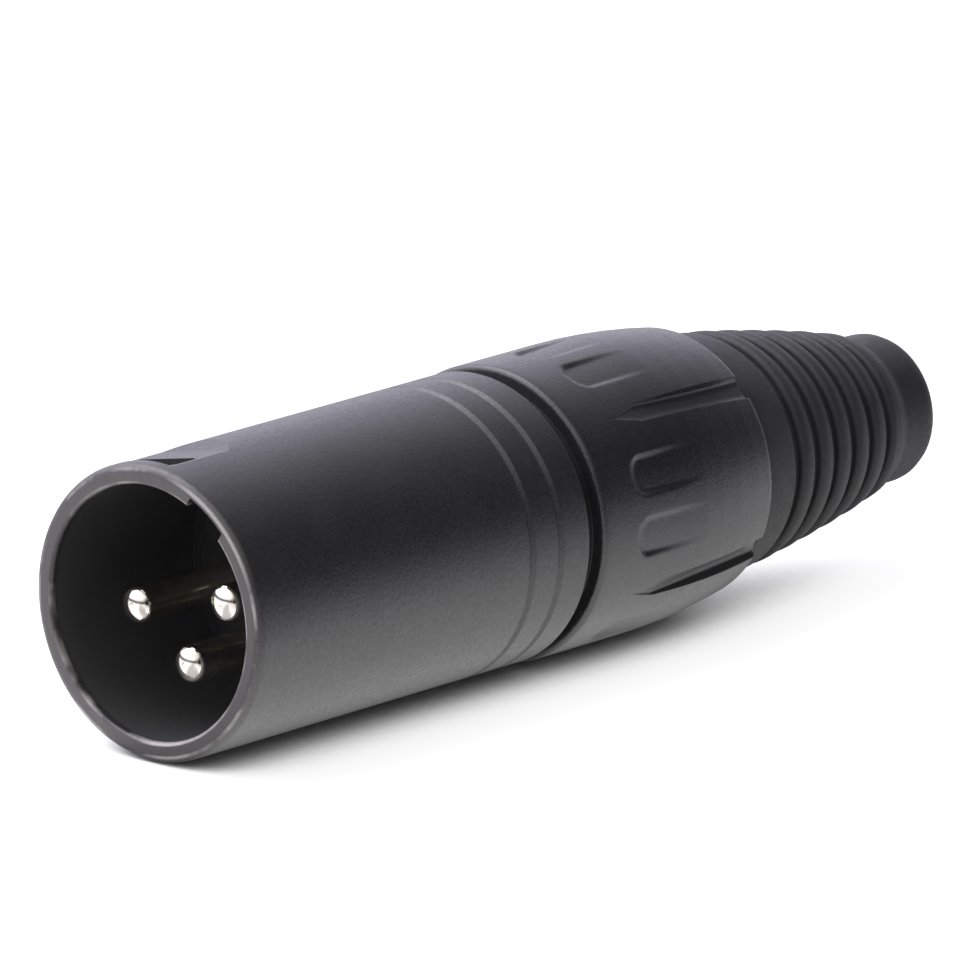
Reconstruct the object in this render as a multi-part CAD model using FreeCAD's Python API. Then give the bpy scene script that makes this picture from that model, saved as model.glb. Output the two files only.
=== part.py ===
# A three-pin male cable plug for audio leads, lying on its side.
# All lengths are in millimetres. While it is built, the plug's axis is X: x = 0 is the rim of
# the mouth, and x grows towards the cable. Angles are in degrees, clockwise as seen by someone
# who looks into the mouth, from the middle of the latch window. place() then lays the plug down.

import os
from math import hypot, sqrt

import FreeCAD
import Part

Vector = FreeCAD.Vector

# Clearances, and how far a cutter runs past the face that it cuts
push_clearance = 0.03     # between pieces that are pressed or moulded together
slide_clearance = 0.1     # between pieces that slide or turn on each other
seat_clearance = 0.05     # between end faces that only just meet
overrun = 1.0

# Contacts: three turned pins with solder cups, on one circle
pin_r = 1.2
pin_root_r = 1.5
pin_circle_r = 3.81
pin_dome_r = 1.8
pin_tip_round = 0.5
pin_behind_rim = 2.6
pin_angles = {"pin_1": -90.0, "pin_2": 90.0, "pin_3": 180.0}
pin_flange_r = 1.8
pin_flange_length = 1.6
pin_flange_cover = 1.8
cup_r = 1.45
cup_bore_r = 1.0
cup_bore_depth = 3.6
cup_opening_length = 2.6
cup_length = 5.0

# Insert: the moulded carrier of the contacts
insert_body_length = 5.4
insert_rear_chamfer = 0.5
fin_thickness = 1.0
fin_length = 5.8
fin_angles = (0.0, 135.0, 225.0)
fin_hub_r = 1.3

# Shell contact: a stamped spring strip between the insert and the shell
spring_thickness = 0.3
spring_width = 2.6
spring_length = 4.2
spring_rise = 0.4
spring_angle = -135.0

# Shell: a die-cast tube with the mouth in front and a threaded bore behind
shell_length = 31.0
mouth_wall = 1.3
mouth_depth = 13.2
lip_height = 0.8
lip_length = 1.0
seat_wall = 1.55
thread_wall = 1.1
thread_behind_insert = 1.8
rim_round = 0.55
rim_inner_round = 0.25
rear_round = 0.25
window_width = 5.2
window_length = 2.4
window_from_rim = 1.6
window_corner_r = 0.6
flat_from_rim = 1.2
flat_length = 5.2
flat_run_out = 1.7
flat_depth = 0.45
keyway_width = 3.2
keyway_depth = 0.7
keyway_length = 9.0
keyway_angle = 46.0
lines_from_rear = (5.5, 2.8)
line_width = 0.6
line_depth = 0.22
shell_key_width = 1.6
shell_key_height = 0.8
shell_key_length = 4.0
shell_key_angle = 180.0

# Chuck: the split collet that grips the cable
cup_room = 0.44
chuck_wall = 0.9
chuck_sleeve_length = 8.5
chuck_before_grip_rear = 3.85
jaw_tip_wall = 1.7
jaw_count = 4
jaw_slit = 1.1
slit_behind_sleeve = 3.5
throat_length = 3.0
cable_r = 3.6
tooth_depth = 0.4
tooth_pitch = 1.6
tooth_slope = 1.2
tooth_count = 6

# Bushing: the hard grip that screws into the shell
spigot_wall = 1.2
spigot_behind_insert = 3.8
spigot_chamfer = 0.4
thread_depth = 0.4
gap_width = 1.2
gap_depth = 0.9
grip_step = 0.15
grip_taper = 0.8
grip_length = 17.3
grip_straight = 8.0
grip_front_round = 0.35
grip_rear_round = 0.15
stub_length = 3.6
stub_wall = 1.4
stub_rib_height = 0.4
stub_rib_width = 0.8
cable_room = 0.4

# Grip pattern: long wedge grooves, with short notches that fade out between them
flute_count = 5
flute_phase = 57.0
flute_from_front = 3.8
flute_point_length = 2.4
flute_front_width = 1.3
flute_rear_width = 1.85
notches_per_flute = 2
notch_angle = 14.5
notch_from_front = 3.5
notch_length = 6.5
notch_depth = 0.3

# Gland: the soft ribbed tail that is moulded onto the bushing
gland_step = 0.55
gland_bulge = 0.22
gland_front_round = 0.2
ring_count = 6
ring_from_front = 4.05
ring_pitch = 2.18
ring_width = 1.0
ring_depth = 0.85
ring_lip_round = 0.16
shoulder_width = 1.15
shoulder_fall = 1.2
shoulder_height = 0.65
nose_wall = 1.85
nose_length = 3.6
nose_round = 1.45
gland_hole_r = 3.1
gland_hole_round = 0.3

# How the plug lies: how far it is rolled about its axis
roll = -11.0

# Places along the axis that follow from the sizes above
seat_x = mouth_depth + lip_length
insert_rear = seat_x + insert_body_length
flange_x = mouth_depth + pin_flange_cover
cup_end = insert_rear + cup_length
thread_start = insert_rear + thread_behind_insert
spigot_front = insert_rear + spigot_behind_insert
grip_front = shell_length + gap_width
grip_rear = grip_front + grip_length
stub_end = grip_rear + stub_length
chuck_front = insert_rear + seat_clearance
jaw_start = chuck_front + chuck_sleeve_length
chuck_end = grip_rear - chuck_before_grip_rear
last_ring = grip_rear + ring_from_front + (ring_count - 1) * ring_pitch
shoulder_start = last_ring + ring_width / 2 + shoulder_width
nose_start = shoulder_start + shoulder_fall
plug_length = nose_start + nose_length

# Radii that follow from the inside out: contacts, chuck, spigot, thread, shell, grip, gland
chuck_inner_r = pin_circle_r + cup_r + cup_room
chuck_r = chuck_inner_r + chuck_wall
bushing_bore_r = chuck_r + slide_clearance
spigot_r = bushing_bore_r + spigot_wall
thread_bore_r = spigot_r + thread_depth + slide_clearance
shell_r = thread_bore_r + thread_wall
mouth_r = shell_r - mouth_wall
lip_r = mouth_r - lip_height
seat_bore_r = shell_r - seat_wall
gap_r = shell_r - gap_depth
grip_r = shell_r + grip_step
grip_rear_r = grip_r - grip_taper
gland_front_r = grip_rear_r - gland_step

# Radii that follow from the cable
jaw_tip_r = cable_r + jaw_tip_wall
bushing_hole_r = cable_r + cable_room
stub_r = bushing_hole_r + stub_wall
nose_r = gland_hole_r + nose_wall
gland_rear_r = nose_r + shoulder_height

axis_x = Vector(1, 0, 0)
origin = Vector(0, 0, 0)


def spin(shape, angle):
    # turns a shape about the plug's axis
    copy = shape.copy()
    copy.rotate(origin, axis_x, angle)
    return copy


def bar(x0, x1, r):
    # a round bar on the plug's axis
    return Part.makeCylinder(r, x1 - x0, Vector(x0, 0, 0), axis_x)


def block(x0, x1, width, z0, z1):
    # a block that is centred across the axis
    return Part.makeBox(x1 - x0, width, z1 - z0, Vector(x0, -width / 2, z0))


def place_of(x, r):
    return Vector(x, 0, r)


def lines(*points):
    # straight edges through points given as (x, r)
    places = [place_of(x, r) for x, r in points]
    return [Part.makeLine(start, end) for start, end in zip(places, places[1:])]


def arc(start, middle, end):
    # one arc through three points given as (x, r)
    return [Part.Arc(place_of(*start), place_of(*middle), place_of(*end)).toShape()]


def bend(start, end, centre):
    # the short arc about a centre from one point (x, r) to another
    lean_x = (start[0] + end[0]) / 2 - centre[0]
    lean_r = (start[1] + end[1]) / 2 - centre[1]
    size = hypot(start[0] - centre[0], start[1] - centre[1]) / hypot(lean_x, lean_r)
    return arc(start, (centre[0] + size * lean_x, centre[1] + size * lean_r), end)


def turned(edges, sweep=360.0):
    # the solid that a closed outline makes when it is turned about the axis
    face = Part.Face(Part.Wire(edges))
    solid = face.revolve(origin, axis_x, sweep)
    if solid.Volume < 0:
        solid.reverse()
    return solid


def round_edges(shape, x, r):
    # the full circles of a shape at one place on the axis and one radius
    found = []
    for edge in shape.Edges:
        curve = edge.Curve
        if not isinstance(curve, Part.Circle):
            continue
        if abs(curve.Radius - r) < 0.001 and abs(curve.Center.x - x) < 0.001:
            found.append(edge)
    return found


def make_shell():
    body = bar(0, shell_length, shell_r)
    body = body.makeFillet(rim_round, round_edges(body, 0, shell_r))
    body = body.makeFillet(rear_round, round_edges(body, shell_length, shell_r))
    body = body.cut(bar(-overrun, mouth_depth, mouth_r))
    body = body.makeFillet(rim_inner_round, round_edges(body, 0, mouth_r))
    body = body.cut(bar(mouth_depth, seat_x, lip_r))
    body = body.cut(bar(seat_x, thread_start, seat_bore_r))
    body = body.cut(bar(thread_start, shell_length + overrun, thread_bore_r))
    for distance in lines_from_rear:
        body = body.cut(line_cutter(shell_length - distance))
    body = body.cut(latch_flat())
    body = body.cut(latch_window())
    body = body.cut(keyway())
    return body.fuse(shell_key(0)).removeSplitter()


def line_cutter(x):
    # a ring with a V-shaped edge, for the thin lines round the shell's rear
    slope = line_width / 2 / line_depth
    half = line_width / 2 + slope * overrun
    high = shell_r + overrun
    return turned(lines((x - half, high), (x, shell_r - line_depth), (x + half, high), (x - half, high)))


def latch_flat():
    # the shallow flat around the window, which runs out towards the rear
    low = shell_r - flat_depth
    high = shell_r + overrun
    end = flat_from_rim + flat_length
    run_out = flat_run_out * (high - low) / flat_depth
    edges = lines((flat_from_rim, low), (end, low), (end + run_out, high),
                  (flat_from_rim, high), (flat_from_rim, low))
    cutter = Part.Face(Part.Wire(edges)).extrude(Vector(0, 2 * shell_r, 0))
    cutter.translate(Vector(0, -shell_r, 0))
    return cutter


def latch_window():
    # the hole behind the rim that the mating connector's latch drops into
    start = window_from_rim
    end = start + window_length
    hole = block(start, end, window_width, mouth_r - overrun, shell_r + overrun)
    upright = [e for e in hole.Edges if abs(e.tangentAt(e.FirstParameter).z) > 0.99]
    return hole.makeFillet(window_corner_r, upright)


def keyway():
    # the groove inside the mouth that guides the mating connector's rib
    bottom_r = mouth_r + keyway_depth
    groove = block(-overrun, keyway_length, keyway_width, mouth_r - overrun, bottom_r + overrun)
    groove = groove.common(bar(-overrun, keyway_length, bottom_r))
    return spin(groove, keyway_angle)


def shell_key(clearance):
    # the rib behind the lip that keeps the insert from turning
    width = shell_key_width + 2 * clearance
    length = shell_key_length + clearance
    inner = seat_bore_r - shell_key_height - clearance
    rib = block(seat_x, seat_x + length, width, inner, shell_r)
    rib = rib.common(bar(seat_x, seat_x + length, (seat_bore_r + shell_r) / 2))
    return spin(rib, shell_key_angle)


def pin_tip():
    # a shallow dome and a round that meets both the dome and the shaft, and where the tip ends
    dome_x = pin_behind_rim + pin_dome_r
    reach = pin_dome_r - pin_tip_round
    round_r = pin_r - pin_tip_round
    round_x = dome_x - sqrt(reach ** 2 - round_r ** 2)
    share = pin_dome_r / reach
    meeting = (dome_x + share * (round_x - dome_x), share * round_r)
    edges = bend((pin_behind_rim, 0), meeting, (dome_x, 0))
    edges += bend(meeting, (round_x, pin_r), (round_x, round_r))
    return edges, round_x


def make_pin(angle):
    # a turned contact: rounded tip, thicker root and flange that sit in the insert, solder cup
    shaft_end = mouth_depth - (pin_root_r - pin_r)
    flange_end = flange_x + pin_flange_length
    edges, shaft_start = pin_tip()
    edges += lines((shaft_start, pin_r), (shaft_end, pin_r), (mouth_depth, pin_root_r),
                   (flange_x, pin_root_r), (flange_x, pin_flange_r), (flange_end, pin_flange_r),
                   (flange_end, cup_r), (cup_end, cup_r), (cup_end, 0), (pin_behind_rim, 0))
    pin = turned(edges)
    pin = pin.cut(bar(cup_end - cup_bore_depth, cup_end + overrun, cup_bore_r))
    open_start = cup_end - cup_opening_length
    open_side = block(open_start, cup_end + overrun, 4 * cup_r, 0.25 * cup_r, 3 * cup_r)
    slope = Part.makeCylinder(0.75 * cup_r, 4 * cup_r, Vector(0, -2 * cup_r, 0), Vector(0, 1, 0))
    slope.translate(Vector(open_start, 0, cup_r))
    pin = pin.cut(open_side.fuse(slope))
    pin.translate(Vector(0, 0, pin_circle_r))
    return spin(pin, angle)


def pin_hole(angle):
    # the stepped hole in the insert that a contact is pushed into from behind
    hole = bar(mouth_depth - overrun, flange_x, pin_root_r + push_clearance)
    hole = hole.fuse(bar(flange_x, insert_rear + overrun, pin_flange_r + push_clearance))
    hole.translate(Vector(0, 0, pin_circle_r))
    return spin(hole, angle)


def make_insert():
    boss = bar(mouth_depth, seat_x, lip_r - push_clearance)
    body = bar(seat_x, insert_rear, seat_bore_r - push_clearance)
    rear_edge = round_edges(body, insert_rear, seat_bore_r - push_clearance)
    body = body.makeChamfer(insert_rear_chamfer, rear_edge)
    body = body.fuse(boss)
    fin_end = insert_rear + fin_length
    fin_reach = chuck_r - slide_clearance
    body = body.fuse(bar(insert_rear, fin_end, fin_hub_r))
    for angle in fin_angles:
        fin = block(insert_rear, fin_end, fin_thickness, 0, fin_reach + overrun)
        fin = fin.common(bar(insert_rear, fin_end, fin_reach))
        body = body.fuse(spin(fin, angle))
    for angle in pin_angles.values():
        body = body.cut(pin_hole(angle))
    body = body.cut(shell_key(push_clearance))
    return body.cut(spring_pocket()).removeSplitter()


def spring_crest():
    # how far out the spring's crest reaches: its corners just meet the shell's bore
    return sqrt(seat_bore_r ** 2 - (spring_width / 2) ** 2) - push_clearance


def spring_pocket():
    floor = spring_crest() - spring_rise - spring_thickness - push_clearance
    start = insert_rear - spring_length - 2 * push_clearance
    width = spring_width + 2 * push_clearance
    return spin(block(start, insert_rear + overrun, width, floor, shell_r), spring_angle)


def make_shell_contact():
    # a bowed strip whose ends sit in the insert and whose crest meets the shell
    end = insert_rear - push_clearance
    start = end - spring_length
    middle = (start + end) / 2
    crest = spring_crest()
    foot = crest - spring_rise
    under = foot - spring_thickness
    edges = arc((start, foot), (middle, crest), (end, foot))
    edges += lines((end, foot), (end, under))
    edges += arc((end, under), (middle, crest - spring_thickness), (start, under))
    edges += lines((start, under), (start, foot))
    strip = Part.Face(Part.Wire(edges)).extrude(Vector(0, spring_width, 0))
    strip.translate(Vector(0, -spring_width / 2, 0))
    return spin(strip, spring_angle)


def make_chuck():
    # a sleeve round the solder cups, and behind it jaws that close on the cable
    throat_end = jaw_start + throat_length
    outside = lines((chuck_front, chuck_inner_r), (chuck_front, chuck_r), (jaw_start, chuck_r),
                    (chuck_end, jaw_tip_r), (chuck_end, cable_r))
    inside = lines((chuck_end, cable_r), (throat_end, cable_r), (jaw_start, chuck_inner_r),
                   (chuck_front, chuck_inner_r))
    body = turned(outside + inside)
    inside_r = cable_r - overrun
    for number in range(tooth_count):
        x = chuck_end - (number + 1) * tooth_pitch
        slope_end = x + tooth_slope
        tooth_gap = lines((x, inside_r), (x, cable_r + tooth_depth), (slope_end, cable_r),
                          (slope_end, inside_r), (x, inside_r))
        body = body.cut(turned(tooth_gap))
    slit_start = jaw_start + slit_behind_sleeve
    for number in range(jaw_count):
        slit = block(slit_start, chuck_end + overrun, jaw_slit, 0, chuck_r + overrun)
        body = body.cut(spin(slit, (number + 0.5) * 360 / jaw_count))
    for angle in fin_angles:
        width = fin_thickness + 2 * slide_clearance
        slot_end = insert_rear + fin_length + seat_clearance
        inner = chuck_inner_r - overrun
        slot = block(chuck_front - overrun, slot_end, width, inner, chuck_r + overrun)
        body = body.cut(spin(slot, angle))
    return body


def grip_outline():
    # the outside of the grip, from its front face to its rear face
    front_x = grip_front + grip_front_round
    front_r = grip_r - grip_front_round
    rear_x = grip_rear - grip_rear_round
    rear_r = grip_rear_r - grip_rear_round
    curve_start = grip_front + grip_straight
    run = rear_x - curve_start
    fall = grip_r - grip_rear_r
    curve_r = (run ** 2 + fall ** 2) / (2 * fall)
    middle_r = grip_r - curve_r + sqrt(curve_r ** 2 - (run / 2) ** 2)
    edges = bend((grip_front, front_r), (front_x, grip_r), (front_x, front_r))
    edges += lines((front_x, grip_r), (curve_start, grip_r))
    edges += arc((curve_start, grip_r), (curve_start + run / 2, middle_r), (rear_x, grip_rear_r))
    edges += bend((rear_x, grip_rear_r), (grip_rear, rear_r), (rear_x, rear_r))
    return edges


def make_bushing():
    shoulder_x = shell_length + seat_clearance
    cone_end = chuck_end + slide_clearance
    edges = lines((spigot_front, bushing_bore_r), (spigot_front, spigot_r - spigot_chamfer),
                  (spigot_front + spigot_chamfer, spigot_r), (shoulder_x, spigot_r),
                  (shoulder_x, gap_r), (grip_front, gap_r),
                  (grip_front, grip_r - grip_front_round))
    edges += grip_outline()
    edges += lines((grip_rear, grip_rear_r - grip_rear_round), (grip_rear, stub_r),
                   *stub_rib(0), (stub_end, stub_r), (stub_end, bushing_hole_r),
                   (cone_end, bushing_hole_r), (cone_end, jaw_tip_r + slide_clearance),
                   (jaw_start, bushing_bore_r), (spigot_front, bushing_bore_r))
    body = turned(edges)
    step = 360 / flute_count
    flute = flute_cutter()
    notch = notch_cutter()
    for number in range(flute_count):
        angle = flute_phase + number * step
        body = body.cut(spin(flute, angle))
        for place_in_gap in range(notches_per_flute):
            share = (place_in_gap + 1) / (notches_per_flute + 1)
            body = body.cut(spin(notch, angle + share * step))
    return body


def stub_rib(clearance):
    # the rib round the bushing's stub that locks the gland on
    start = grip_rear + (stub_length - stub_rib_width) / 2 - clearance
    end = start + stub_rib_width + 2 * clearance
    low = stub_r + clearance
    high = low + stub_rib_height
    return (start, low), (start, high), (end, high), (end, low)


def flute_cutter():
    # a groove that starts at a point and grows wider and deeper, down to the gland's outside
    tip_x = grip_front + flute_from_front
    wide_x = tip_x + flute_point_length
    end_x = grip_rear + overrun
    front = flute_front_width / 2
    rear = flute_rear_width / 2
    half = front + (rear - front) * (end_x - wide_x) / (grip_rear - wide_x)
    outline = [(tip_x, 0), (wide_x, front), (end_x, half), (end_x, -half), (wide_x, -front), (tip_x, 0)]
    corners = [Vector(x, y, grip_r / 2) for x, y in outline]
    wedge = Part.Face(Part.makePolygon(corners)).extrude(Vector(0, 0, grip_r))
    slope = (grip_r - gland_front_r) / (grip_rear - tip_x)
    end_r = grip_r - slope * (end_x - tip_x)
    floor = Part.makeCone(grip_r, end_r, end_x - tip_x, Vector(tip_x, 0, 0), axis_x)
    return wedge.cut(floor)


def notch_cutter():
    # a shallow scoop with a steep front end and a floor that runs out towards the rear
    start = grip_front + notch_from_front
    end = start + notch_length
    outside = grip_r + overrun
    edges = lines((start, grip_r - notch_depth), (end, grip_r), (end, outside),
                  (start, outside), (start, grip_r - notch_depth))
    return spin(turned(edges, notch_angle), -notch_angle / 2)


def gland_radius(x):
    # the outside of the ribs: a line from front to rear that swells a little in the middle
    share = (x - grip_rear) / (shoulder_start - grip_rear)
    straight = gland_front_r + share * (gland_rear_r - gland_front_r)
    return straight + gland_bulge * 4 * share * (1 - share)


def ring_groove(x):
    # one groove of the gland, with rounded lips and a round bottom
    half = ring_width / 2
    before = x - half - ring_lip_round
    after = x + half + ring_lip_round
    front_r = gland_radius(before)
    rear_r = gland_radius(after)
    front_low = front_r - ring_lip_round
    rear_low = rear_r - ring_lip_round
    bottom_r = gland_radius(x) - ring_depth
    edges = bend((before, front_r), (x - half, front_low), (before, front_low))
    edges += lines((x - half, front_low), (x - half, bottom_r + half))
    edges += arc((x - half, bottom_r + half), (x, bottom_r), (x + half, bottom_r + half))
    edges += lines((x + half, bottom_r + half), (x + half, rear_low))
    edges += bend((x + half, rear_low), (after, rear_r), (after, rear_low))
    return edges


def make_gland():
    start_x = grip_rear + gland_front_round
    start_r = gland_radius(start_x)
    front_r = start_r - gland_front_round
    reach = ring_width / 2 + ring_lip_round
    edges = lines((grip_rear, stub_r + push_clearance), (grip_rear, front_r))
    edges += bend((grip_rear, front_r), (start_x, start_r), (start_x, front_r))
    rib_start = start_x
    for number in range(ring_count):
        x = grip_rear + ring_from_front + number * ring_pitch
        edges += rib_top(rib_start, x - reach)
        edges += ring_groove(x)
        rib_start = x + reach
    edges += rib_top(rib_start, shoulder_start)
    end_x = plug_length - nose_round
    end_r = nose_r - nose_round
    hole_x = plug_length - gland_hole_round
    hole_r = gland_hole_r + gland_hole_round
    socket_end = stub_end + push_clearance
    socket_r = stub_r + push_clearance
    edges += lines((shoulder_start, gland_rear_r), (nose_start, nose_r), (end_x, nose_r))
    edges += bend((end_x, nose_r), (plug_length, end_r), (end_x, end_r))
    edges += lines((plug_length, end_r), (plug_length, hole_r))
    edges += bend((plug_length, hole_r), (hole_x, gland_hole_r), (hole_x, hole_r))
    edges += lines((hole_x, gland_hole_r), (socket_end, gland_hole_r), (socket_end, socket_r),
                   *reversed(stub_rib(push_clearance)), (grip_rear, socket_r))
    return turned(edges)


def rib_top(start, end):
    # the top of one rib, which follows the gland's swelling line
    middle = (start + end) / 2
    points = [(x, gland_radius(x)) for x in (start, middle, end)]
    return arc(*points)


def place(shape):
    # rolls the plug, lays it on the floor and puts the origin under its middle
    laid = spin(shape, roll)
    laid.translate(Vector(-plug_length / 2, 0, grip_r))
    return laid


pieces = {
    "shell": make_shell(),
    "insert": make_insert(),
    "shell_contact": make_shell_contact(),
    "chuck": make_chuck(),
    "bushing": make_bushing(),
    "gland": make_gland(),
}
for pin_name, pin_angle in pin_angles.items():
    pieces[pin_name] = make_pin(pin_angle)

os.makedirs("parts", exist_ok=True)
for name, shape in pieces.items():
    solid = place(shape)
    solid.exportStep("parts/" + name + ".step")
    print(name, "valid" if solid.isValid() else "NOT VALID", len(solid.Solids), "solid",
          len(solid.Faces), "faces", round(solid.Volume, 1), "mm3")
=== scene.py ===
from math import atan2, ceil, cos, degrees, hypot, pi, radians, sin, tan

import bmesh
import bpy
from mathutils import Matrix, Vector


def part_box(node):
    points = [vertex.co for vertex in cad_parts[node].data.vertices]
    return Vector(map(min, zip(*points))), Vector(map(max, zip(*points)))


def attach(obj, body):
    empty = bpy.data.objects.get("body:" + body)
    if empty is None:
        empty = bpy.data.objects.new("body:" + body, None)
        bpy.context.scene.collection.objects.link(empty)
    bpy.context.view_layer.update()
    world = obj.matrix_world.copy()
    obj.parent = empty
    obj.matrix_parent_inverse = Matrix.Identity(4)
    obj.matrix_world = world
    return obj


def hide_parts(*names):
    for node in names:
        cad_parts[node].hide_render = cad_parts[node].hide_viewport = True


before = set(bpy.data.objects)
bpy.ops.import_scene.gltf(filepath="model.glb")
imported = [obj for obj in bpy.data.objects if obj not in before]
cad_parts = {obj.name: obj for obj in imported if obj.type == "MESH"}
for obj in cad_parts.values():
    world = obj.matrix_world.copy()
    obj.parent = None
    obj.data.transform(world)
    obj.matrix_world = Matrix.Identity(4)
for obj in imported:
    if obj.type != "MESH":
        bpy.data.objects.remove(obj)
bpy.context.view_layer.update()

# Lengths below are millimetres, measured along the plug from the rim of its mouth, or out from
# its axis. Angles are degrees, clockwise for someone who looks into the mouth, from the window.
mm = 0.001
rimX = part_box("shell")[0].x
axisZ = sum(corner.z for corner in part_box("shell")) / 2

# the plug lies rolled on its side: pin 1 stands a quarter turn before the window
pinCentre = sum(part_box("pin_1"), Vector()) / 2
roll = degrees(atan2(-pinCentre.y, pinCentre.z - axisZ)) + 90


def toFrame(x, r, angle):
    turn = radians(angle + roll)
    return (rimX + x * mm, -sin(turn) * r * mm, axisZ + cos(turn) * r * mm)


def nodeSpan(node):
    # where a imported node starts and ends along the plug
    low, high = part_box(node)
    return (low.x - rimX) / mm, (high.x - rimX) / mm


def nodeRadius(node):
    low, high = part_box(node)
    return (high.z - low.z) / 2 / mm


def smoothStep(low, high, value):
    share = min(max((value - low) / (high - low), 0.0), 1.0)
    return share * share * (3 - 2 * share)


# Mesh tools for turned and moulded pieces
meshing = {"facets": 5, "flatCorner": 0.01, "weld": 0.0005, "sharpAngle": 40}  # the corner in radians
shortStep, longStep, oneStep = 1, 2, 20  # along an outline; the last leaves a straight undivided


def softOutline(corners):
    # a closed outline of points (x, r): each corner is (x, r, rounding, longest step to the next)
    points = []
    count = len(corners)
    for number in range(count):
        x, r, rounding, longest = corners[number]
        here = Vector((x, r))
        back = Vector(corners[number - 1][:2]) - here
        ahead = Vector(corners[(number + 1) % count][:2]) - here
        turn = pi - back.angle(ahead)
        if rounding <= 0 or turn < meshing["flatCorner"]:
            points.append((here, longest))
            continue
        reach = rounding * tan(turn / 2)
        start = here + back.normalized() * reach
        end = here + ahead.normalized() * reach
        middle = here + (back.normalized() + ahead.normalized()).normalized() * rounding / cos(turn / 2)
        for step in range(meshing["facets"] + 1):
            arm = (start - middle).lerp(end - middle, step / meshing["facets"])
            points.append((middle + arm.normalized() * rounding, longest))
    filled = []
    for number in range(len(points)):
        here, longest = points[number]
        ahead = points[(number + 1) % len(points)][0]
        pieces = max(1, ceil((ahead - here).length / longest))
        for step in range(pieces):
            filled.append(tuple(here.lerp(ahead, step / pieces)))
    return filled


def angleSteps(coarse, fine, zones):
    # angles all the way round, with finer steps in zones of (middle, reach)
    angles = [number * coarse for number in range(round(360 / coarse))]
    for middle, reach in zones:
        angles = [a for a in angles if abs((a - middle + 180) % 360 - 180) > reach]
    for middle, reach in zones:
        steps = round(reach / fine)
        angles += [(middle + step * fine) % 360 for step in range(-steps, steps + 1)]
    angles = sorted(angles)
    kept = [angles[0]]
    for angle in angles[1:]:
        if angle - kept[-1] > fine / 2:
            kept.append(angle)
    return kept


def turnedMesh(name, outline, angles, bend=lambda x, r, angle: (r, angle)):
    # turns a closed outline about the axis; bend gives the radius and angle of each point
    mesh = bpy.data.meshes.new(name)
    places = [toFrame(x, *bend(x, r, angle)) for x, r in outline for angle in angles]
    rows, columns = len(outline), len(angles)
    faces = []
    for row in range(rows):
        for column in range(columns):
            nextRow, nextColumn = (row + 1) % rows, (column + 1) % columns
            faces.append((row * columns + column, row * columns + nextColumn,
                          nextRow * columns + nextColumn, nextRow * columns + column))
    mesh.from_pydata(places, [], faces)
    return mesh


def finishMesh(name, mesh, material, body):
    shaped = bmesh.new()
    shaped.from_mesh(mesh)
    bmesh.ops.remove_doubles(shaped, verts=shaped.verts, dist=meshing["weld"] * mm)
    bmesh.ops.recalc_face_normals(shaped, faces=shaped.faces)
    for face in shaped.faces:
        face.smooth = True
    sharp = radians(meshing["sharpAngle"])
    for edge in shaped.edges:
        edge.smooth = len(edge.link_faces) == 2 and edge.calc_face_angle() < sharp
    shaped.to_mesh(mesh)
    shaped.free()
    mesh.materials.append(material)
    piece = bpy.data.objects.new(name, mesh)
    bpy.context.scene.collection.objects.link(piece)
    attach(piece, body)
    return piece


# Materials

def toLinear(hexColour):
    channels = [int(hexColour[start:start + 2], 16) / 255 for start in (0, 2, 4)]
    linear = [c / 12.92 if c <= 0.04045 else ((c + 0.055) / 1.055) ** 2.4 for c in channels]
    return (*linear, 1.0)


def addNode(tree, kind, settings=None, links=None):
    # a link that is given as a node starts at that node's first output
    node = tree.nodes.new("ShaderNode" + kind)
    for key, value in (settings or {}).items():
        if isinstance(key, int) or key in node.inputs:
            node.inputs[key].default_value = value
        else:
            setattr(node, key, value)
    for key, source in (links or {}).items():
        if isinstance(source, bpy.types.Node):
            source = source.outputs[0]
        tree.links.new(source, node.inputs[key])
    return node


def joinFades(tree, fades):
    # the product of several fades: each is a value, where it starts and ends to fade, and the
    # factors there, which are 0 and 1 unless they are given
    product = None
    for value, start, end, *factors in fades:
        low, high = factors or (0.0, 1.0)
        fade = addNode(tree, "MapRange", {"From Min": start, "From Max": end, "To Min": low, "To Max": high},
                       {"Value": value})
        if product is not None:
            fade = addNode(tree, "Math", {"operation": "MULTIPLY"}, {0: product, 1: fade})
        product = fade
    return product


def newMaterial(name, settings):
    material = bpy.data.materials.new(name)
    material.use_nodes = True
    tree = material.node_tree
    tree.nodes.clear()
    surface = addNode(tree, "BsdfPrincipled", settings)
    addNode(tree, "OutputMaterial", links={"Surface": surface})
    return material, tree, surface


# what all finishes share: how detailed their noise is, and its heights where gloss and shade change
noises = {"grainDetail": 3.0, "grainHeights": (0.3, 0.7), "driftDetail": 2.0, "driftHeights": (0.35, 0.65),
          "edgeSamples": 4}


def softGrain(tree, surface, place, finish):
    # softened edges, a fine grain that lifts the surface, and gloss that varies with the grain
    speck = {"Scale": 1 / (finish["grain"] * mm), "Detail": noises["grainDetail"]}
    grain = addNode(tree, "TexNoise", speck, {"Vector": place})
    softened = addNode(tree, "Bevel", {"Radius": finish["edge"] * mm, "samples": noises["edgeSamples"]})
    bump = addNode(tree, "Bump", {"Distance": finish["lift"] * mm}, {"Height": grain, "Normal": softened})
    rough = joinFades(tree, [(grain, *noises["grainHeights"], *finish["gloss"])])
    tree.links.new(bump.outputs["Normal"], surface.inputs["Normal"])
    tree.links.new(rough.outputs["Result"], surface.inputs["Roughness"])


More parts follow.
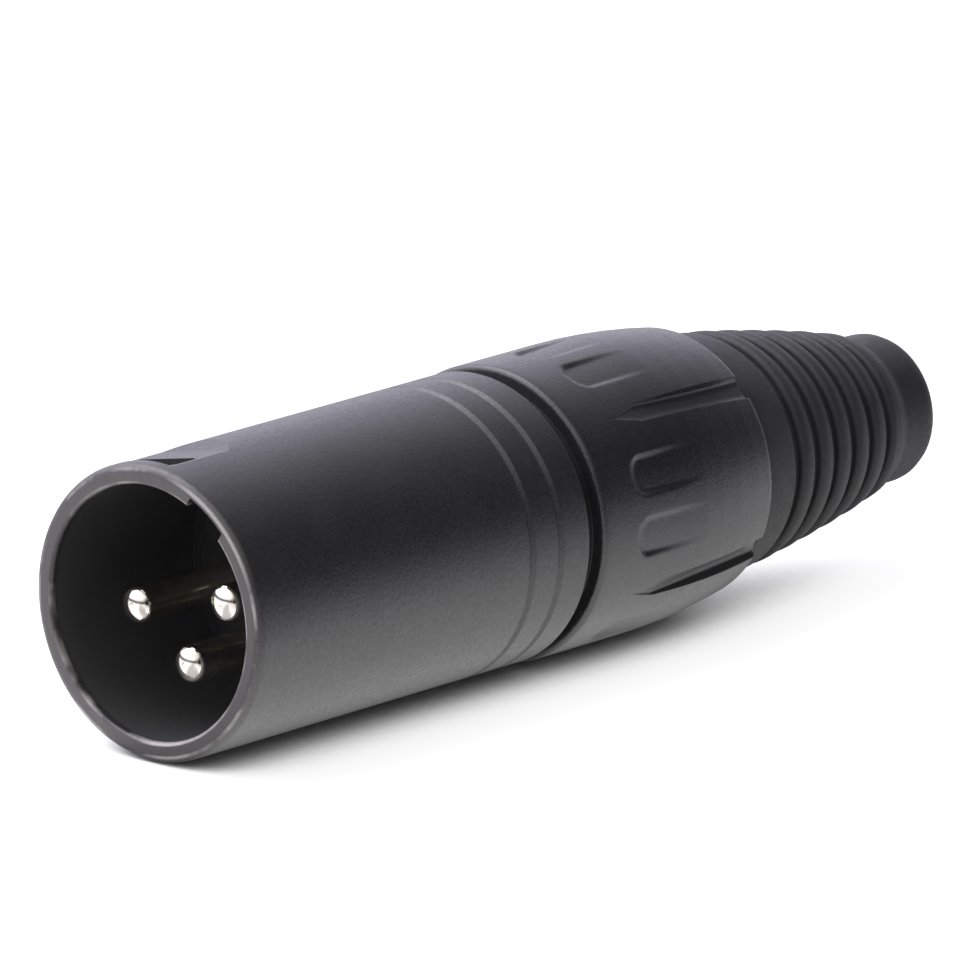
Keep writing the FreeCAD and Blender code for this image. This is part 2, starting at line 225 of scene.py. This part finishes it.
def plainFinish(name, finish):
    # one substance whose shade drifts slowly from place to place; drift, grain, lift and edge are the
    # sizes of its clouds, its grain, the grain's height and its edges' rounding, and gloss a roughness
    material, tree, surface = newMaterial(name, finish["shader"])
    place = addNode(tree, "TexCoord").outputs["Object"]
    cloud = {"Scale": 1 / (finish["drift"] * mm), "Detail": noises["driftDetail"]}
    clouds = addNode(tree, "TexNoise", cloud, {"Vector": place})
    drift = joinFades(tree, [(clouds, *noises["driftHeights"])])
    dark, light = (toLinear(shade) for shade in finish["shades"])
    shade = addNode(tree, "Mix", {"data_type": "RGBA", 6: dark, 7: light}, {0: drift}).outputs[2]
    tree.links.new(shade, surface.inputs["Base Color"])
    softGrain(tree, surface, place, finish)
    return material, tree, surface, shade, place


def stovedLacquer():
    # black lacquer, sprayed and baked onto a zinc casting: satin, with the grain of spray; its IOR is
    # raised from 1.5 to match its shine
    finish = {"shader": {"IOR": 1.85}, "shades": ("272729", "2e2e31"), "drift": 3.0, "grain": 0.24,
              "lift": 0.02, "gloss": (0.36, 0.5), "edge": 0.06}
    material, tree, surface, shade, place = plainFinish("stovedLacquer", finish)
    lacquerWearAndPaintedLight(tree, surface, shade, place)
    return material


# where the lacquer is worn, where the rim's edges get pale lines of wear and painted highlight, where
# painted light greys the inside of the mouth and where painted shade blackens the window's walls: each pair
# is where that starts to show and where it shows in full, as a length, or for the last four, the noise's
# height or a cosine
wearAndPaintedLight = {
    "patchSize": 3.0, "handledShare": 0.6,
    # the rim's tint where it is handled, the pale colour of its lines, which are worn lacquer and painted
    # highlight, the painted light inside the mouth and the painted shade on the window's walls
    "handled": "3d3635", "wornAndHighlightLines": "b0a9a4", "paintedMouthLight": "434343", "cut": "080809",
    "nearRim": (0.5, 0.3), "behindRim": (0.5, 0.7), "windowEnd": (4.5, 4.4),
    "innerLine": (8.44, 8.36), "outerLine": (9.0, 9.08), "outerLineEnd": (9.3, 9.2),
    "wornAndLitZoneAside": (-1.5, -4.0), "wornAndLitZoneHigh": (2.0, 5.0),
    "patchy": (0.45, 0.62), "facesAxis": (-0.5, -0.7), "steep": (0.5, 0.3), "atWindow": (0.93, 0.94),
}


def lacquerWearAndPaintedLight(tree, surface, shade, place):
    # greyer where the rim is handled, and thin pale lines along the rim's two edges, which are worn lacquer
    # and painted highlight, in patches and in full in one zone on the rim's upper side; painted light that
    # makes the inside of the mouth grey; and painted shade that makes the walls of the window black, which
    # are also made dull
    fromRim = addNode(tree, "VectorMath", {"operation": "SUBTRACT", 1: (rimX, 0, axisZ)}, {0: place})
    inPlug = addNode(tree, "VectorMath", {"operation": "SCALE", "Scale": 1 / mm}, {0: fromRim})
    along, aside, high = addNode(tree, "SeparateXYZ", links={0: inPlug}).outputs
    outwards = addNode(tree, "CombineXYZ", links={1: aside, 2: high})
    radius = addNode(tree, "VectorMath", {"operation": "LENGTH"}, {0: outwards}).outputs["Value"]

    patch = {"Scale": 1 / (wearAndPaintedLight["patchSize"] * mm), "Detail": noises["grainDetail"]}
    lumps = addNode(tree, "TexNoise", patch, {"Vector": place})
    patchy = joinFades(tree, [(lumps, *wearAndPaintedLight["patchy"])])
    # a zone on the rim's upper side where the pale lines show in full: worn lacquer and painted highlight
    wornAndLitZone = joinFades(tree, [(aside, *wearAndPaintedLight["wornAndLitZoneAside"]), (high, *wearAndPaintedLight["wornAndLitZoneHigh"])])
    wornAndLitPatches = addNode(tree, "Math", {"operation": "MAXIMUM"}, {0: patchy, 1: wornAndLitZone})
    inner = joinFades(tree, [(radius, *wearAndPaintedLight["innerLine"])])
    outer = joinFades(tree, [(radius, *wearAndPaintedLight["outerLine"]), (radius, *wearAndPaintedLight["outerLineEnd"])])
    line = addNode(tree, "Math", {"operation": "MAXIMUM"}, {0: inner, 1: outer})
    # the pale lines along the rim's two edges, near the rim only: worn lacquer and painted highlight
    wornAndHighlightLines = joinFades(tree, [(along, *wearAndPaintedLight["nearRim"]), (line, 0, 1), (wornAndLitPatches, 0, 1)])
    handled = joinFades(tree, [(along, *wearAndPaintedLight["nearRim"], 0, wearAndPaintedLight["handledShare"])])

    away = addNode(tree, "VectorMath", {"operation": "NORMALIZE"}, {0: outwards})
    normal = addNode(tree, "NewGeometry").outputs["True Normal"]
    facing = addNode(tree, "VectorMath", {"operation": "DOT_PRODUCT"}, {0: normal, 1: away})
    facing = facing.outputs["Value"]
    # painted light: surfaces behind the rim that face the axis are made grey, so that the inside of the
    # mouth looks lit
    paintedMouthLight = joinFades(tree, [(along, *wearAndPaintedLight["behindRim"]), (facing, *wearAndPaintedLight["facesAxis"])])
    # painted shade: the steep walls at the window, behind the rim, are made black, and also dull
    steep = addNode(tree, "Math", {"operation": "ABSOLUTE"}, {0: facing})
    windowWay = (Vector(toFrame(0, 1, 0)) - Vector(toFrame(0, 0, 0))).normalized()
    near = addNode(tree, "VectorMath", {"operation": "DOT_PRODUCT", 1: windowWay}, {0: away})
    cut = joinFades(tree, [(along, *wearAndPaintedLight["behindRim"]), (steep, *wearAndPaintedLight["steep"]),
                           (near.outputs["Value"], *wearAndPaintedLight["atWindow"]), (along, *wearAndPaintedLight["windowEnd"])])

    # layers of colour: the rim's handled tint, the pale lines of wear and painted highlight, the painted
    # light inside the mouth, and the painted shade on the window's walls
    for share, layer in ((handled, "handled"), (wornAndHighlightLines, "wornAndHighlightLines"), (paintedMouthLight, "paintedMouthLight"), (cut, "cut")):
        settings = {"data_type": "RGBA", 7: toLinear(wearAndPaintedLight[layer])}
        shade = addNode(tree, "Mix", settings, {0: share, 6: shade}).outputs[2]
    tree.links.new(shade, surface.inputs["Base Color"])
    rough = surface.inputs["Roughness"].links[0].from_socket
    dull = addNode(tree, "Math", {"operation": "MAXIMUM"}, {0: rough, 1: cut})
    tree.links.new(dull.outputs[0], surface.inputs["Roughness"])


def mouldedNylon():
    # glass-filled nylon from a spark-eroded mould: a satin gloss over a fine grain; its IOR is raised
    # from 1.53 to match its shine
    finish = {"shader": {"IOR": 1.8}, "shades": ("262628", "2d2d30"), "drift": 4.0, "grain": 0.2,
              "lift": 0.02, "gloss": (0.32, 0.45), "edge": 0.08}
    return plainFinish("mouldedNylon", finish)[0]


def castPolyurethane():
    # soft polyurethane, moulded in a smooth tool: dull, with a slow waviness
    finish = {"shader": {"IOR": 1.6}, "shades": ("29292b", "313133"), "drift": 2.5, "grain": 0.3,
              "lift": 0.02, "gloss": (0.56, 0.68), "edge": 0.12}
    return plainFinish("castPolyurethane", finish)[0]


def insertNylon():
    # the carrier of the contacts, moulded in plain nylon: a matt dark grey
    finish = {"shader": {"IOR": 1.53}, "shades": ("3a3a38", "444442"), "drift": 2.0, "grain": 0.2,
              "lift": 0.01, "gloss": (0.5, 0.6), "edge": 0.05}
    return plainFinish("insertNylon", finish)[0]


def silverPlate():
    # silver plated over turned brass: bright, and a little warm where the plating is thin
    finish = {"shader": {"Metallic": 1.0}, "shades": ("e8dfcd", "f6f3ec"), "drift": 0.7, "grain": 0.1,
              "lift": 0.0004, "gloss": (0.12, 0.16), "edge": 0.05}
    return plainFinish("silverPlate", finish)[0]


def springBronze():
    # rolled phosphor bronze: warm, with a soft shine
    finish = {"shader": {"Metallic": 1.0}, "shades": ("c79a5e", "d3a96c"), "drift": 0.8, "grain": 0.1,
              "lift": 0.002, "gloss": (0.25, 0.35), "edge": 0.03}
    return plainFinish("springBronze", finish)[0]


def naturalAcetal():
    # uncoloured acetal, moulded: off-white and waxy
    finish = {"shader": {"IOR": 1.48}, "shades": ("d8d7cf", "e4e3dc"), "drift": 3.0, "grain": 0.3,
              "lift": 0.006, "gloss": (0.32, 0.42), "edge": 0.1}
    return plainFinish("naturalAcetal", finish)[0]


lacquer = stovedLacquer()
gripNylon = mouldedNylon()
rubber = castPolyurethane()
carrier = insertNylon()
silver = silverPlate()
bronze = springBronze()
acetal = naturalAcetal()
print("materials made")


# CAD nodes that stay as they are, with a finish of their own
finishes = {"insert": carrier, "shell_contact": bronze, "chuck": acetal, "shell": lacquer,
            "pin_1": silver, "pin_2": silver, "pin_3": silver}
for node, material in finishes.items():
    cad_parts[node].data.materials[0] = material


# Grip: the bushing again, with soft edges to its flutes and notches
grip = {
    "front": 32.2, "rear": 49.5, "straight": 8.0, "fall": 0.8, "fallSteps": 5, "frontRound": 0.35,
    "rearRound": 0.5, "spigot": 7.9, "chamfer": 0.4, "shoulder": 31.05, "neck": 8.6, "stub": 5.4,
    "lockHalf": 0.4, "lockHeight": 0.4, "bore": 6.7, "coneStart": 28.15, "coneEnd": 45.75, "coneR": 5.4,
    "hole": 4.0,
    "fluteCount": 5, "phase": 57.0, "fluteStart": 36.0, "point": 2.4, "wide": (0.65, 0.925),
    "floor": 1.35, "hollow": 3.2,
    "notchShares": (1 / 3, 2 / 3), "notchStart": 35.7, "notchLength": 6.5, "notchHalf": 1.22,
    "notchDepth": 0.27, "notchCorner": 1.0, "notchSoft": 0.26,
}
# the grip's mesh: degrees between its columns and round a flute's or a notch's edges, then where the
# surface is cut and how long the steps of its outline are
gripMesh = {
    "coarse": 1.6, "fine": 0.4, "zone": 8.0, "notchZone": 1.8, "edgeColumn": 4.8, "leastEdge": 0.5,
    "cutBefore": 1.0, "skin": 0.5, "frontStep": 0.16, "frontStepBefore": 0.6, "rearStep": 0.2,
}
gripSpan = nodeSpan("bushing")
gripR = nodeRadius("bushing")


def gripSurface(x):
    # the radius of the grip between its flutes: straight, then falling towards the gland
    fallStart = grip["front"] + grip["straight"]
    share = max(0.0, x - fallStart) / (grip["rear"] - fallStart)
    return gripR - grip["fall"] * share * share


def fluteHalf(x):
    # half the width of a flute, which starts at a point and grows wider
    along = max(0.0, x - grip["fluteStart"])
    front, rear = grip["wide"]
    run = grip["rear"] - grip["fluteStart"]
    grown = front + (rear - front) * (along - grip["point"]) / (run - grip["point"])
    return min(grown, front * along / grip["point"])


def fluteCut(x, aside):
    # how deep a flute is at one place: a hollow that grows deeper towards the gland
    half = fluteHalf(x)
    if aside >= half:
        return 0.0
    along = (x - grip["fluteStart"]) / (grip["rear"] - grip["fluteStart"])
    depth = max(0.0, grip["floor"] * along - (gripR - gripSurface(x)))
    return depth * (1 - (aside / half) ** grip["hollow"]) ** (1 / grip["hollow"])


def notchCut(x, aside):
    # a shallow scoop with rounded front corners, whose floor runs out towards the rear
    corner = grip["notchCorner"]
    past = max(0.0, aside - grip["notchHalf"] + corner)
    before = max(0.0, grip["notchStart"] + corner - x)
    outside = hypot(past, before) - corner
    left = max(0.0, 1 - (x - grip["notchStart"]) / grip["notchLength"])
    return grip["notchDepth"] * left * (1 - smoothStep(-grip["notchSoft"], grip["notchSoft"], outside))


def fromFlute(angle, share=0.0):
    # how far an angle is from the nearest flute, or from what stands a share of the way to the next
    step = 360 / grip["fluteCount"]
    return (angle - grip["phase"] - share * step + step / 2) % step - step / 2


def gripPoint(x, r, angle):
    # the columns of points near a flute draw together, so that some run along its edges
    if x < grip["notchStart"] - gripMesh["cutBefore"] or x > grip["rear"]:
        return r, angle
    if r < grip["stub"] + gripMesh["skin"]:
        return r, angle
    away = fromFlute(angle)
    edge, reach = gripMesh["edgeColumn"], gripMesh["zone"]
    if abs(away) < reach:
        wanted = max(gripMesh["leastEdge"], degrees(fluteHalf(x) / gripR))
        moved = abs(away) * wanted / edge
        if abs(away) > edge:
            moved = wanted + (abs(away) - edge) * (reach - wanted) / (reach - edge)
        angle += (moved if away > 0 else -moved) - away
    cut = fluteCut(x, abs(radians(fromFlute(angle))) * gripR)
    for share in grip["notchShares"]:
        cut = max(cut, notchCut(x, abs(radians(fromFlute(angle, share))) * gripR))
    return (min(r, gripSurface(x) - cut) if cut > 0 else r), angle


def gripCorners():
    # from the bore's front over the spigot, the outside and the stub to the hole and the cone
    start, end = gripSpan
    front, rear = grip["front"], grip["rear"]
    spigot, chamfer, stub = grip["spigot"], grip["chamfer"], grip["stub"]
    lockR = stub + grip["lockHeight"]
    lockStart, lockEnd = (rear + end) / 2 - grip["lockHalf"], (rear + end) / 2 + grip["lockHalf"]
    corners = [(start, grip["bore"], 0, shortStep), (start, spigot - chamfer, 0, shortStep),
               (start + chamfer, spigot, 0, longStep), (grip["shoulder"], spigot, 0, shortStep),
               (grip["shoulder"], grip["neck"], 0, shortStep), (front, grip["neck"], 0, shortStep),
               (front, gripR, grip["frontRound"], shortStep),
               (grip["notchStart"] - gripMesh["frontStepBefore"], gripR, 0, gripMesh["frontStep"])]
    fallStart = front + grip["straight"]
    for number in range(grip["fallSteps"]):
        x = fallStart + number / grip["fallSteps"] * (rear - fallStart)
        corners.append((x, gripSurface(x), 0, gripMesh["rearStep"]))
    corners += [(rear, gripSurface(rear), grip["rearRound"], gripMesh["rearStep"]),
                (rear, stub, 0, shortStep), (lockStart, stub, 0, shortStep),
                (lockStart, lockR, 0, shortStep), (lockEnd, lockR, 0, shortStep),
                (lockEnd, stub, 0, longStep), (end, stub, 0, longStep), (end, grip["hole"], 0, oneStep),
                (grip["coneEnd"], grip["hole"], 0, longStep), (grip["coneEnd"], grip["coneR"], 0, oneStep),
                (grip["coneStart"], grip["bore"], 0, oneStep)]
    return corners


def makeGrip():
    step = 360 / grip["fluteCount"]
    notchReach = degrees(grip["notchHalf"] / gripR)
    zones = []
    for number in range(grip["fluteCount"]):
        flute = grip["phase"] + number * step
        zones.append((flute, gripMesh["zone"]))
        for share in grip["notchShares"]:
            for side in (-notchReach, notchReach):
                zones.append((flute + share * step + side, gripMesh["notchZone"]))
    angles = angleSteps(gripMesh["coarse"], gripMesh["fine"], zones)
    mesh = turnedMesh("moulded_grip", softOutline(gripCorners()), angles, gripPoint)
    piece = finishMesh("moulded_grip", mesh, gripNylon, "tail")
    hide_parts("bushing")
    print("grip made", len(mesh.polygons), "faces")


# Gland: the soft tail again, with rounder ribs and a softer shoulder; it sags a little at its end
gland = {
    "frontR": 8.3, "rearR": 5.6, "bulge": 0.22, "frontRound": 0.25, "sag": 0.3,
    "ringFromFront": 3.9, "pitch": 2.23, "count": 6, "half": 0.43, "depth": 0.8, "lip": 0.38,
    "bottom": 0.3, "crown": 0.06, "crownRound": 1.2,
    "shoulder": 66.1, "fall": 1.2, "fallRound": 0.9, "noseR": 4.95, "noseRound": 1.45, "hole": 3.1,
    "holeRound": 0.3, "socket": 5.43, "socketEnd": 53.13, "lock": (50.87, 51.73), "lockDepth": 0.4,
    "angleStep": 2.0, "ribStep": 0.3, "shoulderStep": 0.5, "fallStep": 0.6,
}


def glandSurface(x):
    # the radius over the ribs: a slight bulge on a cone
    share = (x - grip["rear"]) / (gland["shoulder"] - grip["rear"])
    straight = gland["frontR"] + share * (gland["rearR"] - gland["frontR"])
    return straight + gland["bulge"] * 4 * share * (1 - share)


def ribCorners(start):
    # the rings that are cut between the ribs, and a slight crown on each rib
    corners = []
    lip, bottom, step = gland["lip"], gland["bottom"], gland["ribStep"]
    for number in range(gland["count"]):
        x = start + gland["ringFromFront"] + number * gland["pitch"]
        low = glandSurface(x) - gland["depth"]
        before, after = x - gland["half"], x + gland["half"]
        corners += [(before, glandSurface(before), lip, step), (before, low, bottom, step),
                    (after, low, bottom, step), (after, glandSurface(after), lip, step)]
        if number < gland["count"] - 1:
            crest = x + gland["pitch"] / 2
            corners.append((crest, glandSurface(crest) + gland["crown"], gland["crownRound"], step))
    return corners


def makeGland():
    start, end = nodeSpan("gland")
    shoulder, noseR, hole = gland["shoulder"], gland["noseR"], gland["hole"]
    socket, socketEnd = gland["socket"], gland["socketEnd"]
    lockStart, lockEnd = gland["lock"]
    lockR = socket + gland["lockDepth"]
    corners = [(start, socket, 0, longStep), (start, glandSurface(start), gland["frontRound"], longStep),
               *ribCorners(start),
               (shoulder, gland["rearR"], gland["fallRound"], gland["shoulderStep"]),
               (shoulder + gland["fall"], noseR, gland["fallRound"], gland["fallStep"]),
               (end, noseR, gland["noseRound"], gland["shoulderStep"]),
               (end, hole, gland["holeRound"], longStep), (socketEnd, hole, 0, longStep),
               (socketEnd, socket, 0, longStep), (lockEnd, socket, 0, shortStep),
               (lockEnd, lockR, 0, shortStep), (lockStart, lockR, 0, shortStep),
               (lockStart, socket, 0, shortStep)]
    angles = angleSteps(gland["angleStep"], gland["angleStep"], [])
    mesh = turnedMesh("moulded_gland", softOutline(corners), angles)
    for point in mesh.vertices:
        along = (point.co.x - rimX) / mm
        point.co.z -= gland["sag"] * mm * smoothStep(start, end, along)
    piece = finishMesh("moulded_gland", mesh, rubber, "tail")
    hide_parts("gland")
    print("gland made", len(mesh.polygons), "faces")


# Threads: right-handed ridges that mesh with each other, on the bushing and in the shell
ridge = {"pitch": 1.5, "stepsPerTurn": 48, "riseSteps": 12, "rootHalf": 0.4, "crestHalf": 0.1, "sunk": 0.1}
threads = {
    "bushing_thread": {"span": (24.6, 30.4), "wall": 7.9, "crest": 8.27, "phase": 0.0,
                       "material": gripNylon, "body": "tail", "slot": "grip_plastic"},
    "shell_thread": {"span": (22.35, 30.15), "wall": 8.4, "crest": 8.03, "phase": -360.0,
                     "material": lacquer, "body": "front", "slot": "shell_lacquer"},
}


def makeThread(name, thread):
    # a ridge along a helix that rises from the wall over its first and last part
    mesh = bpy.data.meshes.new(name)
    start, end = thread["span"]
    turns = (end - start) / ridge["pitch"]
    steps = ceil(turns * ridge["stepsPerTurn"])
    height = thread["crest"] - thread["wall"]
    root = thread["wall"] - height * ridge["sunk"]
    rootHalf, crestHalf = ridge["rootHalf"], ridge["crestHalf"]
    places = []
    for step in range(steps + 1):
        angle = thread["phase"] + 360 * turns * step / steps
        rise = min(1.0, step / ridge["riseSteps"], (steps - step) / ridge["riseSteps"])
        x = start + (end - start) * step / steps
        crest = thread["wall"] + height * rise
        for shift, r in ((-rootHalf, root), (-crestHalf, crest), (crestHalf, crest), (rootHalf, root)):
            places.append(toFrame(x + shift, r, angle))
    faces = [tuple(range(4)), tuple(range(4 * steps, 4 * steps + 4))]
    for step in range(steps):
        for side in range(4):
            here, beside = 4 * step + side, 4 * step + (side + 1) % 4
            faces.append((here, beside, beside + 4, here + 4))
    mesh.from_pydata(places, [], faces)
    finishMesh(name, mesh, thread["material"], thread["body"])


makeGrip()
makeGland()
for name, thread in threads.items():
    makeThread(name, thread)
print("threads made")


# Floor: its places are metres in the frame; where a fade has four numbers, the last two are the
# factors at its start and end
board = {
    "reach": 2.5, "paint": "a8a8a8", "roughness": 0.9, "specular": 0.1, "cameraGlow": 0.84,
    "openReach": 0.1, "openSamples": 10, "open": (0.17, 0.33), "glow": 0.1, "mirrorGlow": 1.2,
    "near": (-0.05, -0.006, 0.1, 1.0), "far": (0.015, 0.05, 1.0, 0.55), "under": (0.003, 0.0065, 0.1, 1.0),
    "tail": (-0.005, 0.03, 1.0, 0.65),
    "behindRear": {"x": (-0.03, -0.015), "y": (0.012, 0.024), "left": 0.02},
    "beforeMouth": {"x": (-0.04, -0.05), "y": (0.03, 0.018), "left": 0.5},
}


def mirroredGlow(tree, place):
    # what the plug mirrors of the floor: bright beside the plug, darker right under it, away from it
    # on both sides and towards the tail, half as bright before the mouth, and dark behind its rear
    x, y = addNode(tree, "SeparateXYZ", links={0: place}).outputs[:2]
    aside = addNode(tree, "Math", {"operation": "ABSOLUTE"}, {0: y})
    fades = [(y, *board["near"]), (y, *board["far"]), (aside, *board["under"]), (x, *board["tail"])]
    for name in ("behindRear", "beforeMouth"):
        corner = board[name]
        inCorner = joinFades(tree, [(x, *corner["x"]), (y, *corner["y"])])
        fades.append((inCorner, 0.0, 1.0, 1.0, corner["left"]))
    return joinFades(tree, fades)


def makeFloor():
    # a pale board that glows, so that it stays white, apart from a dark contact shadow where the
    # plug shuts the light out
    mesh = bpy.data.meshes.new("floor")
    reach = board["reach"]
    mesh.from_pydata([(-reach, -reach, 0), (reach, -reach, 0), (reach, reach, 0), (-reach, reach, 0)],
                     [], [(0, 1, 2, 3)])
    floor = bpy.data.objects.new("floor", mesh)
    bpy.context.scene.collection.objects.link(floor)
    paint = {"Base Color": toLinear(board["paint"]), "Roughness": board["roughness"],
             "Specular IOR Level": board["specular"], "Emission Color": (1, 1, 1, 1)}
    material, tree, surface = newMaterial("litBoard", paint)
    ray = addNode(tree, "LightPath").outputs
    place = addNode(tree, "TexCoord").outputs["Object"]
    mirrored = addNode(tree, "Math", {"operation": "MULTIPLY"},
                       {0: ray["Is Glossy Ray"], 1: mirroredGlow(tree, place)})
    glow = addNode(tree, "Math", {"operation": "MULTIPLY_ADD", 1: board["mirrorGlow"], 2: board["glow"]},
                   {0: mirrored})
    seen = addNode(tree, "Math", {"operation": "MAXIMUM"},
                   {0: ray["Is Camera Ray"], 1: ray["Is Transmission Ray"]})
    opening = {"samples": board["openSamples"], "Distance": board["openReach"]}
    openness = addNode(tree, "AmbientOcclusion", opening)
    shown = joinFades(tree, [(openness.outputs["AO"], *board["open"], 0.0, board["cameraGlow"])])
    strength = addNode(tree, "Mix", links={0: seen, 2: glow, 3: shown})
    tree.links.new(strength.outputs[0], surface.inputs["Emission Strength"])
    mesh.materials.append(material)


# Room: a fade's numbers are parts of a direction of length 1, then the light there; wallLight is the
# wall's light before and after its curve, and lean is how much a direction's height counts
room = {
    "wall": (-0.45, 0.69), "wallCurve": 2.0, "wallLight": (0.02, 1.6), "wallTail": (0.72, 0.92, 1.0, 1.7),
    "overMouth": (0.4, -0.3), "lean": 0.8, "lifted": (-0.35, 0.1), "line": (0.1, 0.2, 0.04, 1.0),
    "lineEnd": (0.0, 0.3), "nearColour": "ffffff", "wallColour": "f1edff",
}


def makeWorld():
    # a room that is dim on the near side, grows paler towards a white wall behind the plug, which is
    # brighter towards the tail, and is bright over the mouth, down to a dark line above the floor
    # that shows across the pins' tips
    world = bpy.data.worlds.new("studio")
    bpy.context.scene.world = world
    world.use_nodes = True
    tree = world.node_tree
    tree.nodes.clear()
    way = addNode(tree, "TexCoord").outputs["Generated"]
    x, y, z = addNode(tree, "SeparateXYZ", links={0: way}).outputs
    behind = joinFades(tree, [(y, *room["wall"])])
    curve = addNode(tree, "Math", {"operation": "POWER", 1: room["wallCurve"]}, {0: behind})
    wall = joinFades(tree, [(curve, 0.0, 1.0, *room["wallLight"]), (x, *room["wallTail"])])
    leanUp = addNode(tree, "Math", {"operation": "MULTIPLY_ADD", 1: room["lean"]}, {0: z, 2: y})
    lifted = joinFades(tree, [(x, *room["overMouth"]), (leanUp, *room["lifted"])])
    total = addNode(tree, "Math", {"operation": "ADD"}, {0: wall, 1: lifted})
    line = joinFades(tree, [(z, *room["line"])])
    pastLine = joinFades(tree, [(x, *room["lineEnd"])])
    aboveLine = addNode(tree, "Math", {"operation": "MAXIMUM"}, {0: line, 1: pastLine})
    strength = addNode(tree, "Math", {"operation": "MULTIPLY"}, {0: total, 1: aboveLine})
    near, far = toLinear(room["nearColour"]), toLinear(room["wallColour"])
    colour = addNode(tree, "Mix", {"data_type": "RGBA", 6: near, 7: far}, {0: wall}).outputs[2]
    light = addNode(tree, "Background", links={"Color": colour, "Strength": strength})
    addNode(tree, "OutputWorld", links={"Surface": light})


def aimAt(thing, target):
    thing.rotation_euler = (Vector(target) - thing.location).to_track_quat("-Z", "Y").to_euler()


# Lamp: place and size in metres, power in watts
overhead = {"place": (-0.15, 0.45, 0.85), "size": 0.9, "power": 4.0}


def makeLamp():
    light = bpy.data.lights.new("overhead", "AREA")
    light.shape = "DISK"
    light.size = overhead["size"]
    light.energy = overhead["power"]
    lamp = bpy.data.objects.new("overhead", light)
    lamp.location = overhead["place"]
    aimAt(lamp, (0, 0, 0))
    bpy.context.scene.collection.objects.link(lamp)


# Camera: angles in degrees, lens and sensor in millimetres, other lengths in metres
view = {"azimuth": -48.4, "elevation": 14.8, "distance": 1.009, "target": (-0.0043, 0.0, 0.0121),
        "lens": 596.4, "sensor": 36, "clip": (0.05, 20)}


def makeCamera():
    data = bpy.data.cameras.new("camera")
    data.lens = view["lens"]
    data.sensor_width = view["sensor"]
    data.clip_start, data.clip_end = view["clip"]
    camera = bpy.data.objects.new("camera", data)
    a, e = radians(view["azimuth"]), radians(view["elevation"])
    back = Vector((sin(a) * cos(e), -cos(a) * cos(e), sin(e)))
    camera.location = Vector(view["target"]) + back * view["distance"]
    aimAt(camera, view["target"])
    bpy.context.scene.collection.objects.link(camera)
    bpy.context.scene.camera = camera


makeFloor()
makeWorld()
makeLamp()
makeCamera()
bpy.context.scene.view_settings.view_transform = "Standard"
print("studio made")
